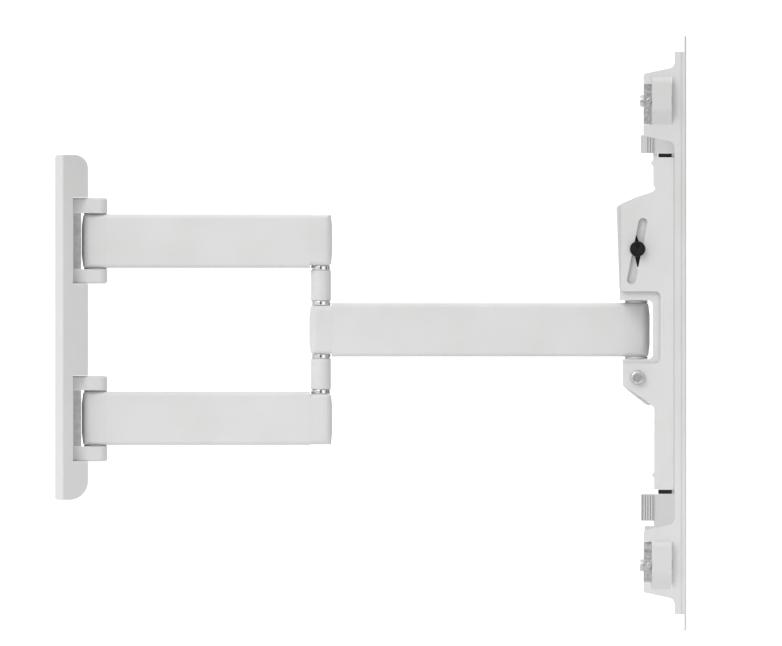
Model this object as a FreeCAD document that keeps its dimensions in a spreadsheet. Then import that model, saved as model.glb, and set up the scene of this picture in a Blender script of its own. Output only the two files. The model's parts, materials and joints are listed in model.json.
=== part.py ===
import FreeCAD, Part
import math
import os
import re
import Sketcher

# A full-motion television wall mount at full reach.
# X points out from the wall to the television, Z points up and Y = 0 is the middle plane.
# The origin is on the wall face, level with the middle of the front arm. Sizes are millimetres.
#
# A covered wall plate carries two clevises. Two rear arms turn in them about one upright axis.
# The rear arms meet at the elbow shaft, where the front arm turns between them. At its far end
# the front arm carries the yoke, the tilting frame with two cross rails, and on the rails two
# upright brackets that bolt to the back of the television.

SIZES = {
    # Gaps: round a turning fit, and between faces that slide past each other
    "fit": 0.05,
    "slide_gap": 0.1,
    # How far a cut runs past a face
    "overrun": 1,
    # Fasteners: tip and nut chamfers, the round of a head's rim, and its socket as shares of the head
    "tip_chamfer": 0.6,
    "head_round_share": 0.45,
    "socket_floor_share": 0.4,
    "socket_share": 0.5,
    "nut_chamfer": 0.6,
    "nut_face_share": 0.88,
    "bolt_flange": 1.2,
    "bolt_flange_round": 0.5,
    "ring_edge": 0.2,
    "disc_edge": 0.4,
    # Wall plate
    "plate_thickness": 3,
    "plate_half_width": 30,
    "plate_half_height": 122,
    "plate_corner": 4,
    "plate_rim": 4,
    "wall_hole_radius": 4.25,
    "wall_hole_across": 20,
    "wall_hole_up": 115,
    # Cover over the wall plate, with a window in front of each clevis
    "cover_top": 130.2,
    "cover_bottom": -126.8,
    "cover_depth": 24.6,
    "cover_side_depth": 6,
    "cover_half_width": 35,
    "cover_front_half_width": 14,
    "cover_wall": 2,
    "cover_top_radius": 10,
    "cover_bottom_radius": 14,
    "cover_back_radius": 2,
    "window_low": 34,
    "window_high": 98.5,
    "window_floor": 13.4,
    "window_gap": 0.6,
    "rib_up": 70,
    "rib_half_height": 4,
    # Clevises on the wall plate
    "clevis_base": 4,
    "clevis_base_half_width": 22,
    "clevis_base_half_height": 41.5,
    "clevis_half_width": 15,
    "clevis_back": 14,
    "clevis_shoulder": 24,
    "clevis_nose": 39,
    "clevis_nose_half_width": 10,
    "clevis_nose_radius": 9,
    "lug_inner_low": 34.3,
    "lug_inner_high": 45,
    "lug_outer_low": 87,
    "lug_outer_high": 98.2,
    "lug_edge": 2,
    "pad_front": 19.6,
    "pad_recess_radius": 11.9,
    "clevis_screw_radius": 2.5,
    "clevis_screw_head": 4.4,
    "clevis_screw_head_height": 2.6,
    "clevis_screw_short": 0.3,
    "clevis_screw_across": 17.2,
    "clevis_screw_up": 37,
    # Upright axes
    "wall_axis": 30,
    "elbow_axis": 198,
    "head_axis": 433,
    # Arms: rectangular tube with an end fitting in each end
    "arm_level": 66,
    "arm_half_height": 20,
    "arm_half_width": 10,
    "arm_wall": 1.8,
    "arm_corner": 3.5,
    "seam": 8,
    "end_reach": 10,
    "elbow_reach": 8.6,
    "end_swell": 1.1,
    "end_plan_radius": 6.5,
    "end_edge": 2,
    "end_bulge": 9,
    "end_bulge_radius": 12,
    "plug_length": 10,
    # Pins, bushes and the counterbores that hide heads and nuts
    "pin_radius": 4,
    "pin_head_radius": 6.5,
    "pin_head_height": 3.9,
    "pin_end": 34.9,
    "counterbore_radius": 7.8,
    "wall_counterbore": 92.2,
    "wall_nut_seat": 39.4,
    "nut_radius": 7.4,
    "nut_height": 4.2,
    "cap_height": 1.1,
    "bush_radius": 6,
    "bush_length": 14,
    "bush_flange_radius": 8.5,
    "bush_flange": 0.9,
    # Elbow stack
    "elbow_seat": 48,
    "elbow_outer": 85.5,
    "elbow_counterbore": 80,
    "elbow_end": 84.3,
    "elbow_nut_height": 4,
    "ring_radius": 7.25,
    "ring_height": 3.7,
    "ring_round": 0.9,
    "sleeve_radius": 7.6,
    "sleeve_edge": 0.6,
    "front_end_half_height": 18,
    # Cable slot and snap-in cover under the lower arm and under the front arm
    "slot_half_width": 6,
    "lower_slot_start": 48.4,
    "lower_slot_end": 179.5,
    "lower_strip_start": 74.5,
    "lower_strip_end": 154.2,
    "front_slot_start": 245.9,
    "front_slot_end": 398.6,
    "front_strip_start": 271.9,
    "front_strip_end": 371,
    "strip_skin": 1.6,
    "strip_barb": 1,
    "strip_leg": 1.5,
    "strip_leg_height": 4,
    # Yoke on the swivel pin
    "yoke_half_width": 30,
    "yoke_sheet": 2.5,
    "yoke_top": 93,
    "yoke_web_top": 91,
    "yoke_top_left": 418.2,
    "yoke_top_right": 440.5,
    "yoke_corner": 3,
    "yoke_waist": 18,
    "yoke_waist_radius": 20,
    "yoke_chin": -50,
    "yoke_chin_left": 442.7,
    "yoke_chin_radius": 6,
    "window_corner": 4,
    "yoke_foot_left": 420.8,
    "yoke_window": 22,
    "yoke_window_right": 445.3,
    "yoke_right": 452,
    "yoke_lug": 5,
    "yoke_lower_left": 423,
    "yoke_bottom": -58,
    "swivel_radius": 5,
    "swivel_head_radius": 8,
    "swivel_head_height": 5.5,
    "swivel_nut_radius": 8.6,
    "swivel_nut_height": 6.5,
    "swivel_bush_radius": 7,
    "swivel_flange": 1.9,
    # Tilting frame: side plates and spine bent from one sheet
    "frame_inner": 31,
    "frame_outer": 33.5,
    "spine_front": 462,
    "spine_edge": 445.7,
    "spine_top": 128.2,
    "spine_bottom": -119,
    "spine_tab": 3.3,
    "nick_depth": 1.6,
    "nick_half_height": 1,
    "nick_slope": 1.2,
    "top_nick": 124.1,
    "bottom_nick": -108.4,
    "spine_slot_radius": 12,
    "upper_slot_low": 46,
    "upper_slot_high": 106,
    "lower_slot_low": -92,
    "lower_slot_high": -52,
    "plate_root": 107.6,
    "plate_notch": 104.8,
    "plate_notch_left": 447.7,
    "plate_notch_radius": 1.5,
    "plate_top": 102.4,
    "plate_top_right": 444.2,
    "plate_brow": 99.2,
    "plate_brow_left": 434,
    "plate_brow_radius": 10,
    "plate_shoulder": 93.8,
    "plate_left": 421.5,
    "plate_corner_radius": 1.5,
    "plate_foot_left": 423,
    "frame_window_top": 28.5,
    "frame_window_bottom": -25,
    "frame_window_right": 451,
    "frame_lower": -42,
    "frame_heel": -52,
    "frame_heel_left": 438.8,
    "frame_heel_radius": 12,
    "frame_foot": -58,
    "frame_corner": 3,
    "lower_edge": 446.4,
    "tongue_half_width": 28,
    "tongue_top": 184,
    "tongue_bottom": -189,
    "tongue_corner": 6,
    "sheet_bend": 2,
    # Tilt pivot and the tilt lock, which runs in a slot of each side plate and each yoke side
    "tilt_x": 434,
    "tilt_z": -35.6,
    "tilt_radius": 4,
    "tilt_head_radius": 5,
    "tilt_head_height": 3.2,
    "tilt_washer_radius": 5.5,
    "tilt_nut_radius": 7.2,
    "tilt_nut_height": 5.2,
    "tilt_up": 6,
    "tilt_down": 6,
    "lock_x": 434,
    "lock_z": 60.2,
    "lock_radius": 2.5,
    "lock_slot_radius": 3.25,
    "lock_slot_room": 1.2,
    "lock_slot_foot": 4.3,
    "lock_lean": 11.5,
    "lock_run_per_degree": 3.159,
    "lock_washer_radius": 5.8,
    "lock_hex_radius": 4.7,
    "lock_hex_height": 4,
    "lock_head_height": 5,
    "lock_end": 1.5,
    "guide_left": 430.6,
    "guide_right": 437,
    "guide_low": 46.6,
    "guide_shoulder": 66,
    "guide_top_left": 433,
    "guide_top": 71.5,
    "guide_thickness": 1.5,
    "washer_height": 0.9,
    "friction_radius": 9,
    # Cross rails
    "rail_middle": -2.5,
    "rail_up": 173,
    "rail_half_height": 17.7,
    "rail_back": 444.8,
    "rail_front": 459.5,
    "rail_half_length": 212.6,
    "rail_wall": 2,
    "rail_corner": 2,
    "rail_slot_start": 46,
    "rail_slot_end": 204,
    "rail_slot_radius": 3.6,
    "rail_cap": 4.9,
    "rail_cap_edge": 4.6,
    "rail_cap_chin": 10.5,
    "rail_cap_chin_radius": 12,
    "rail_cap_plug": 8,
    # Saddles that hold the rails to the spine
    "saddle_outer": 36.3,
    "saddle_sheet": 2.3,
    "saddle_left": 439.2,
    "saddle_right": 461.5,
    "saddle_far": 193.1,
    "saddle_edge": 1,
    "saddle_corner": 2,
    "saddle_notch": 183.5,
    "saddle_top_near": 134,
    "saddle_top_lip": 147.5,
    "saddle_bottom_near": 120,
    "saddle_bottom_lip": 139.8,
    "saddle_slit": 3.9,
    "lip_left": 436.4,
    "lip_right": 446.2,
    "lip_inset": 0.4,
    "lip_proud": 0.8,
    "lip_corner": 1,
    "bar_corner": 0.8,
    "rib_last": 445.1,
    "rib_pitch": 1.9,
    "rib_gap": 0.8,
    "rib_depth": 1.2,
    "buffer_left": 449.4,
    "buffer_gap": 0.15,
    "saddle_screw_across": 18,
    "saddle_screw_radius": 3,
    "saddle_screw_head": 5,
    "saddle_screw_head_height": 4,
    "saddle_nut_radius": 5.7,
    "saddle_nut_height": 4.6,
    # Television brackets
    "bracket_across": 200,
    "bracket_half_width": 12.5,
    "bracket_corner": 3,
    "bracket_sheet": 1.6,
    "bracket_face": 470.4,
    "bracket_back": 461.6,
    "bracket_top": 219.4,
    "bracket_bottom": -224.4,
    "bracket_flange_end": 209.6,
    "groove_left": 466.4,
    "groove_right": 467.6,
    "groove_depth": 0.5,
    "ear_left": 438.4,
    "ear_far": 193.2,
    "ear_far_root": 198.1,
    "ear_lip": 185.5,
    "ear_near": 147.1,
    "ear_near_root": 142,
    "ear_corner": 2,
    "ear_bend": 5,
    "ear_gap": 0.25,
    "vesa_hole_radius": 4.25,
    "vesa_pitch": 50,
    "clamp_radius": 3,
    "clamp_head_radius": 4.4,
    "clamp_head_height": 3,
    "clamp_block": 6.2,
    "clamp_plate_half_height": 12,
    "clamp_plate": 4,
    "clamp_gap": 0.3,
    "clamp_end": 0.9,
    # Set screw in each clamp block
    "set_across": 442.6,
    "set_radius": 1.2,
    "set_length": 5,
    "set_head_radius": 2,
    "set_head_height": 1.3,
}

PLANES = {"x": "YZ_Plane", "y": "XZ_Plane", "z": "XY_Plane"}
SIGNS = ("1", "-1")
LEVELS = (("upper", "1"), ("lower", "-1"))
SIDES = (("left", "-1"), ("right", "1"))

doc = FreeCAD.newDocument("tv_wall_mount")
sheet = doc.addObject("Spreadsheet::Sheet", "sizes")
for row, (alias, size) in enumerate(SIZES.items(), start=1):
    sheet.set(f"A{row}", f"{size}")
    sheet.setAlias(f"A{row}", alias)
doc.recompute()
nodes = []


# Expressions and sketches


def value(text):
    """The present value of an expression in the sheet's names."""
    return float(sheet.evalExpression(f"{text}"))


def bind(target, name, text):
    """Bind a property to an expression in the sheet's names."""
    named = re.sub(r"[a-z_]{3,}", lambda word: f"sizes.{word[0]}" if word[0] in SIZES else word[0], f"{text}")
    target.setExpression(name, named)


def constrain(sketch, text, *constraint):
    """Add a constraint whose size is an expression."""
    number = sketch.addConstraint(Sketcher.Constraint(*constraint, value(text)))
    bind(sketch, f"Constraints[{number}]", text)


def hold(sketch, geometry, position, across, up):
    """Hold a point of a sketch at two expressions from the sketch's origin."""
    constrain(sketch, across, "DistanceX", -1, 1, geometry, position)
    constrain(sketch, up, "DistanceY", -1, 1, geometry, position)


def arc(centre, radius, start, end):
    """The arc of a circle that runs anticlockwise from start to end."""
    first = math.atan2(start.y - centre.y, start.x - centre.x)
    last = math.atan2(end.y - centre.y, end.x - centre.x)
    return Part.ArcOfCircle(Part.Circle(centre, FreeCAD.Vector(0, 0, 1), radius), first, last)


def circle(across, up, radius):
    """A round loop."""

    def draw(sketch):
        centre = FreeCAD.Vector(value(across), value(up), 0)
        round_one = sketch.addGeometry(Part.Circle(centre, FreeCAD.Vector(0, 0, 1), value(radius)))
        hold(sketch, round_one, 3, across, up)
        constrain(sketch, radius, "Radius", round_one)

    return draw


def slot(start, end, radius):
    """A straight slot with round ends centred on start and end."""

    def draw(sketch):
        ends = [FreeCAD.Vector(value(a), value(b), 0) for a, b in (start, end)]
        run = (ends[1] - ends[0]).normalize()
        side = FreeCAD.Vector(-run.y, run.x, 0) * value(radius)
        first = sketch.addGeometry(arc(ends[0], value(radius), ends[0] + side, ends[0] - side))
        below = sketch.addGeometry(Part.LineSegment(ends[0] - side, ends[1] - side))
        second = sketch.addGeometry(arc(ends[1], value(radius), ends[1] - side, ends[1] + side))
        above = sketch.addGeometry(Part.LineSegment(ends[1] + side, ends[0] + side))
        for one, two in ((first, below), (below, second), (second, above), (above, first)):
            sketch.addConstraint(Sketcher.Constraint("Tangent", one, 2, two, 1))
        for end_arc, (across, up) in ((first, start), (second, end)):
            hold(sketch, end_arc, 3, across, up)
            constrain(sketch, radius, "Radius", end_arc)

    return draw


def outline(*corners):
    """A closed loop of straight sides. A corner is (across, up), or (across, up, radius) if rounded."""

    def draw(sketch):
        spots = [FreeCAD.Vector(value(corner[0]), value(corner[1]), 0) for corner in corners]
        count = len(corners)
        entries = list(spots)
        exits = list(spots)
        arcs = {}
        for index, corner in enumerate(corners):
            if len(corner) == 3:
                radius = value(corner[2])
                back = (spots[index - 1] - spots[index]).normalize()
                ahead = (spots[(index + 1) % count] - spots[index]).normalize()
                half = back.getAngle(ahead) / 2
                entries[index] = spots[index] + back * (radius / math.tan(half))
                exits[index] = spots[index] + ahead * (radius / math.tan(half))
                centre = spots[index] + (back + ahead).normalize() * (radius / math.sin(half))
                left_turn = ahead.cross(back).z > 0
                ends = (entries[index], exits[index]) if left_turn else (exits[index], entries[index])
                arcs[index] = (arc(centre, radius, *ends), (1, 2) if left_turn else (2, 1))
        lines = [
            sketch.addGeometry(Part.LineSegment(exits[index], entries[(index + 1) % count]))
            for index in range(count)
        ]
        for index, corner in enumerate(corners):
            before = lines[index - 1]
            after = lines[index]
            if index not in arcs:
                sketch.addConstraint(Sketcher.Constraint("Coincident", before, 2, after, 1))
                hold(sketch, after, 1, corner[0], corner[1])
                continue
            shape, (entry, leave) = arcs[index]
            bend = sketch.addGeometry(shape)
            tip = sketch.addGeometry(Part.Point(spots[index]), True)
            hold(sketch, tip, 1, corner[0], corner[1])
            sketch.addConstraint(Sketcher.Constraint("PointOnObject", tip, 1, before))
            sketch.addConstraint(Sketcher.Constraint("PointOnObject", tip, 1, after))
            sketch.addConstraint(Sketcher.Constraint("Tangent", before, 2, bend, entry))
            sketch.addConstraint(Sketcher.Constraint("Tangent", bend, leave, after, 1))
            constrain(sketch, corner[2], "Radius", bend)

    return draw


def rectangle(left, right, low, high, radius=None):
    """A rectangle, with round corners where a radius is given."""
    corners = ((left, low), (right, low), (right, high), (left, high))
    return outline(*(corner if radius is None else (*corner, radius) for corner in corners))


def hexagon(radius):
    """A hexagon about the sketch's origin, by the radius to its corners."""
    return outline(*((f"{radius} * cos({turn})", f"{radius} * sin({turn})") for turn in range(0, 360, 60)))


# Solids


def body(label):
    """An empty body with its label."""
    made = doc.addObject("PartDesign::Body", label)
    made.Label = label
    return made


def profile(made, axis, level, loops):
    """A sketch of closed loops in a body, square to an axis at a level along it."""
    sketch = made.newObject("Sketcher::SketchObject", "Profile")
    plane = next(feature for feature in made.Origin.OriginFeatures if feature.Role == PLANES[axis])
    sketch.AttachmentSupport = [(plane, "")]
    sketch.MapMode = "FlatFace"
    bind(sketch, "AttachmentOffset.Base.z", f"-1 * ({level})" if axis == "y" else level)
    for draw in loops:
        draw(sketch)
    return sketch


def raise_or_cut(made, kind, axis, low, high, loops):
    """Extend loops along an axis between two levels, as a pad or a pocket."""
    sketch = profile(made, axis, f"(({low}) + ({high})) / 2", loops)
    feature = made.newObject(f"PartDesign::{kind}", kind)
    feature.Profile = sketch
    feature.SideType = "Symmetric"
    bind(feature, "Length", f"abs(({high}) - ({low}))")
    return feature


def pad(made, axis, low, high, *loops):
    """Add material between two levels along an axis."""
    return raise_or_cut(made, "Pad", axis, low, high, loops)


def pocket(made, axis, low, high, *loops):
    """Remove material between two levels along an axis."""
    return raise_or_cut(made, "Pocket", axis, low, high, loops)


def turned(label, *loops):
    """A body turned about its own Z axis from loops of (radius, height)."""
    made = body(label)
    sketch = profile(made, "y", "0", loops)
    spin = made.newObject("PartDesign::Revolution", "Revolution")
    spin.Profile = sketch
    spin.ReferenceAxis = (sketch, ["V_Axis"])
    spin.Angle = 360
    return made


def soften(made, radius, chosen):
    """Round the edges of a body's last feature that a test picks by their middle point and length."""
    doc.recompute()
    last = made.Tip
    names = [
        f"Edge{number}"
        for number, edge in enumerate(last.Shape.Edges, start=1)
        if chosen(edge.CenterOfMass, edge.Length)
    ]
    if not names:
        raise RuntimeError(f"{made.Label}: no edge to round")
    fillet = made.newObject("PartDesign::Fillet", "Fillet")
    fillet.Base = (last, names)
    bind(fillet, "Radius", radius)


TURNS = {
    "+z": FreeCAD.Rotation(),
    "-z": FreeCAD.Rotation(FreeCAD.Vector(1, 0, 0), 180),
    "+y": FreeCAD.Rotation(FreeCAD.Vector(1, 0, 0), -90),
    "-y": FreeCAD.Rotation(FreeCAD.Vector(1, 0, 0), 90),
    "+x": FreeCAD.Rotation(FreeCAD.Vector(0, 1, 0), 90),
    "-x": FreeCAD.Rotation(FreeCAD.Vector(0, 1, 0), -90),
}


def stand(made, towards, across, deep, up):
    """Put a piece's own origin at a point and point its own Z axis along a direction."""
    made.Placement = FreeCAD.Placement(FreeCAD.Vector(), TURNS[towards])
    for name, text in (("x", across), ("y", deep), ("z", up)):
        bind(made, f"Placement.Base.{name}", text)
    return made


def combine(kind, label, parts):
    """A Part boolean or compound of several pieces."""
    made = doc.addObject(f"Part::{kind}", label)
    made.Label = label
    setattr(made, "Links" if kind == "Compound" else "Shapes", parts)
    return made


def cut_away(label, base, tools):
    """A piece less one or more tools."""
    made = doc.addObject("Part::Cut", label)
    made.Label = label
    made.Base = base
    made.Tool = tools[0] if len(tools) == 1 else combine("MultiFuse", f"{label}_tools", tools)
    return made


def keep(made):
    """Count a piece as a node of the mount."""
    nodes.append(made)
    return made


def keep_all(label, parts):
    """Count several like pieces as one node."""
    return keep(combine("Compound", label, parts))


def rod(label, radius, low, high, across, deep="0"):
    """An upright cylinder, used to drill a bore."""
    made = doc.addObject("Part::Cylinder", label)
    bind(made, "Radius", radius)
    bind(made, "Height", f"abs(({high}) - ({low}))")
    bind(made, "Placement.Base.x", across)
    bind(made, "Placement.Base.y", deep)
    bind(made, "Placement.Base.z", f"(({low}) + ({high}) - abs(({high}) - ({low}))) / 2")
    return made


def side_of(sign):
    """The direction word for a sign along Y."""
    return "+y" if sign == "1" else "-y"


def end_of(sign):
    """The direction word for a sign along Z."""
    return "+z" if sign == "1" else "-z"


# Fasteners. Each stands on its seat at its own origin with its head or height along its own +Z.


def bolt(label, radius, length, head_radius, head_height):
    """A bolt with a low round head and a hexagon socket."""
    made = turned(
        label,
        outline(
            ("0", f"-1 * ({length})"),
            (f"{radius} - tip_chamfer", f"-1 * ({length})"),
            (radius, f"tip_chamfer - ({length})"),
            (radius, "0"),
            (head_radius, "0"),
            (head_radius, head_height, f"{head_height} * head_round_share"),
            ("0", head_height),
        ),
    )
    socket = hexagon(f"{head_radius} * socket_share")
    pocket(made, "z", f"{head_height} * socket_floor_share", f"{head_height} + overrun", socket)
    return made


def hex_bolt(label, radius, length, hex_radius, flange_radius, head_height):
    """A bolt with a hexagon head on a thin round flange."""
    made = turned(
        label,
        outline(
            ("0", f"-1 * ({length})"),
            (f"{radius} - tip_chamfer", f"-1 * ({length})"),
            (radius, f"tip_chamfer - ({length})"),
            (radius, "0"),
            (flange_radius, "0"),
            (flange_radius, "bolt_flange", "bolt_flange_round"),
            ("0", "bolt_flange"),
        ),
    )
    pad(made, "z", "bolt_flange / 2", head_height, hexagon(hex_radius))
    return made


def nut(label, bore, hex_radius, height):
    """A hexagon nut with turned-off corners."""
    blank = body(f"{label}_blank")
    pad(blank, "z", "0", height, hexagon(hex_radius))
    across = f"{hex_radius} * nut_face_share"
    edge = f"({height}) - nut_chamfer"
    form = turned(
        f"{label}_form",
        outline(
            (bore, "0"),
            (across, "0"),
            (hex_radius, "nut_chamfer"),
            (hex_radius, edge),
            (across, height),
            (bore, height),
        ),
    )
    return combine("MultiCommon", label, [blank, form])


def ring(label, bore, radius, height, edge="ring_edge"):
    """A flat ring with rounded outer edges."""
    return turned(
        label,
        outline((bore, "0"), (radius, "0", edge), (radius, height, edge), (bore, height)),
    )


def disc(label, radius, height):
    """A plain disc with a rounded rim on the far face."""
    return turned(label, outline(("0", "0"), (radius, "0"), (radius, height, "disc_edge"), ("0", height)))


def flanged_bush(label, bore, radius, length, flange_radius, flange):
    """A bush whose tube goes down into its bore and whose flange lies on the face."""
    return turned(
        label,
        outline(
            (bore, f"-1 * ({length})"),
            (radius, f"-1 * ({length})"),
            (radius, "0"),
            (flange_radius, "0"),
            (flange_radius, flange),
            (bore, flange),
        ),
    )


# Wall plate, cover and clevises

CLEVIS_FACE = "plate_thickness + clevis_base"
CLEVIS_SCREWS = [
    (f"{across} * clevis_screw_across", f"{level} * arm_level + {up} * clevis_screw_up", level)
    for level in SIGNS
    for across in SIGNS
    for up in SIGNS
]


def wall_plate():
    """The steel plate on the wall: bolt holes, threaded holes for the clevises and a bent rim."""
    plate = body("wall_plate")
    bolts = [
        circle(f"{across} * wall_hole_across", f"{up} * wall_hole_up", "wall_hole_radius")
        for across in SIGNS
        for up in SIGNS
    ]
    threads = [circle(across, up, "clevis_screw_radius + fit") for across, up, _ in CLEVIS_SCREWS]
    edges = ("-1 * plate_half_width", "plate_half_width", "-1 * plate_half_height", "plate_half_height")
    pad(plate, "x", "0", "plate_thickness", rectangle(*edges, "plate_corner"), *bolts, *threads)
    for side in SIGNS:
        rim = rectangle(
            f"{side} * (plate_half_width - plate_thickness)",
            f"{side} * plate_half_width",
            "plate_corner - plate_half_height",
            "plate_half_height - plate_corner",
        )
        pad(plate, "x", "plate_thickness", "plate_thickness + plate_rim", rim)
    keep(plate)


def cover_block(label, back, inset, back_radius=()):
    """The cover's outer form, or its hollow when inset by the wall thickness."""
    narrowing = "(cover_half_width - cover_front_half_width)"
    rise = "(cover_depth - cover_side_depth)"
    shoulder = f"cover_side_depth - {inset} * tan(atan({narrowing} / {rise}) / 2)"
    front_half = f"cover_front_half_width - {inset} * tan(atan({rise} / {narrowing}) / 2)"
    side_half = f"cover_half_width - {inset}"
    front = f"cover_depth - {inset}"
    floor = f"window_floor - {inset}"
    top = f"cover_top - {inset}"
    bottom = f"cover_bottom + {inset}"
    plan = body(f"{label}_plan")
    plan_loop = outline(
        (back, f"-1 * ({side_half})"),
        (shoulder, f"-1 * ({side_half})", "cover_wall"),
        (front, f"-1 * ({front_half})", "cover_wall"),
        (front, front_half, "cover_wall"),
        (shoulder, side_half, "cover_wall"),
        (back, side_half),
    )
    pad(plan, "z", bottom, top, plan_loop)
    side = body(f"{label}_side")
    windows = [
        (front, f"-1 * (window_high + {inset})"),
        (floor, f"-1 * (window_high + {inset})"),
        (floor, f"-1 * (window_low - {inset})"),
        (front, f"-1 * (window_low - {inset})"),
        (front, f"window_low - {inset}"),
        (floor, f"window_low - {inset}"),
        (floor, f"window_high + {inset}"),
        (front, f"window_high + {inset}"),
    ]
    side_loop = outline(
        (back, bottom, *back_radius),
        (front, bottom, f"cover_bottom_radius - {inset}"),
        *windows,
        (front, top, f"cover_top_radius - {inset}"),
        (back, top, *back_radius),
    )
    pad(side, "y", "-1 * cover_half_width", "cover_half_width", side_loop)
    return combine("MultiCommon", label, [plan, side])


def wall_cover():
    """The moulded cover: a shell with stepped windows for the clevises and ribs that grip the rim."""
    outer = cover_block("cover_outer", "0", "0", ("cover_back_radius",))
    hollow = cover_block("cover_hollow", "-1", "cover_wall")
    openings = body("cover_openings")
    for level in SIGNS:
        opening = rectangle(
            "-1 * clevis_half_width - window_gap",
            "clevis_half_width + window_gap",
            f"{level} * window_low",
            f"{level} * window_high",
        )
        pad(openings, "x", "window_floor - cover_wall - overrun", "window_floor + overrun", opening)
    shell = cut_away("cover_shell", outer, [hollow, openings])
    ribs = body("cover_ribs")
    for side in SIGNS:
        for level in SIGNS:
            rib = rectangle(
                f"{side} * (plate_half_width + fit)",
                f"{side} * (cover_half_width - cover_wall / 2)",
                f"{level} * rib_up - rib_half_height",
                f"{level} * rib_up + rib_half_height",
            )
            pad(ribs, "x", "1", "cover_side_depth - overrun", rib)
    keep(combine("MultiFuse", "wall_cover", [shell, ribs]))


def clevis(name, level):
    """A clevis: a screwed-on base, a back and two lugs that hold a wall pin."""
    made = body(f"clevis_{name}")
    base = rectangle(
        "-1 * clevis_base_half_width",
        "clevis_base_half_width",
        f"{level} * arm_level - clevis_base_half_height",
        f"{level} * arm_level + clevis_base_half_height",
        "plate_corner",
    )
    spots = [(across, up) for across, up, at in CLEVIS_SCREWS if at == level]
    holes = [circle(across, up, "clevis_screw_radius + fit") for across, up in spots]
    pad(made, "x", "plate_thickness", CLEVIS_FACE, base, *holes)
    back = rectangle(CLEVIS_FACE, "clevis_back", "-1 * clevis_half_width", "clevis_half_width")
    pad(made, "z", f"{level} * lug_inner_low", f"{level} * lug_outer_high", back)
    lug = outline(
        (CLEVIS_FACE, "-1 * clevis_half_width"),
        ("clevis_shoulder", "-1 * clevis_half_width", "clevis_nose_radius"),
        ("clevis_nose", "-1 * clevis_nose_half_width", "clevis_nose_radius"),
        ("clevis_nose", "clevis_nose_half_width", "clevis_nose_radius"),
        ("clevis_shoulder", "clevis_half_width", "clevis_nose_radius"),
        (CLEVIS_FACE, "clevis_half_width"),
    )
    for low, high in (("lug_inner_low", "lug_inner_high"), ("lug_outer_low", "lug_outer_high")):
        pad(made, "z", f"{level} * {low}", f"{level} * {high}", lug)
    faces = (value(f"{level} * lug_inner_low"), value(f"{level} * lug_outer_high"))
    clear_of_back = value("clevis_back") + 1

    def on_outer_face(middle, length):
        return middle.x > clear_of_back and min(abs(middle.z - face) for face in faces) < 0.01

    soften(made, "lug_edge", on_outer_face)
    bore = circle("wall_axis", "0", "pin_radius + fit")
    recess = circle("wall_axis", "0", "counterbore_radius")
    pocket(made, "z", f"{level} * (lug_inner_low - overrun)", f"{level} * (lug_outer_high + overrun)", bore)
    pocket(made, "z", f"{level} * (lug_inner_low - overrun)", f"{level} * wall_nut_seat", recess)
    pocket(made, "z", f"{level} * wall_counterbore", f"{level} * (lug_outer_high + overrun)", recess)
    keep(made)


def clevis_pads():
    """The nylon pads between the clevis lugs, hollowed so that the arms' noses swing past them."""
    pads = []
    for name, level in LEVELS:
        pad_body = body(f"clevis_pad_{name}")
        low = f"{level} * (lug_inner_high + slide_gap)"
        high = f"{level} * (lug_outer_low - slide_gap)"
        block = rectangle("clevis_back", "pad_front", "-1 * clevis_half_width", "clevis_half_width")
        pad(pad_body, "z", low, high, block)
        pocket(pad_body, "z", low, high, circle("wall_axis", "0", "pad_recess_radius"))
        pads.append(pad_body)
    keep_all("clevis_pads", pads)


def clevis_screws():
    """The eight screws that hold the clevises to the wall plate."""
    screws = []
    for index, (across, up, _) in enumerate(CLEVIS_SCREWS):
        screw = bolt(
            f"clevis_screw_{index}",
            "clevis_screw_radius",
            "plate_thickness + clevis_base - clevis_screw_short",
            "clevis_screw_head",
            "clevis_screw_head_height",
        )
        screws.append(stand(screw, "+x", CLEVIS_FACE, across, up))
    keep_all("clevis_screws", screws)


def wall_pins():
    """The two hinge pins at the wall, with their nuts and caps sunk in the lugs."""
    caps = []
    for name, level in LEVELS:
        length = "wall_counterbore - pin_end"
        pin = bolt(f"wall_pin_{name}", "pin_radius", length, "pin_head_radius", "pin_head_height")
        keep(stand(pin, end_of(level), "wall_axis", "0", f"{level} * wall_counterbore"))
        inward = "-z" if level == "1" else "+z"
        lock = nut(f"wall_pin_nut_{name}", "pin_radius + fit", "nut_radius", "nut_height")
        keep(stand(lock, inward, "wall_axis", "0", f"{level} * wall_nut_seat"))
        cap = disc(f"wall_pin_cap_{name}", "counterbore_radius - fit", "cap_height")
        caps.append(stand(cap, end_of(level), "wall_axis", "0", f"{level} * (lug_outer_high - cap_height)"))
    keep_all("wall_pin_caps", caps)


# Arms


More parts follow.
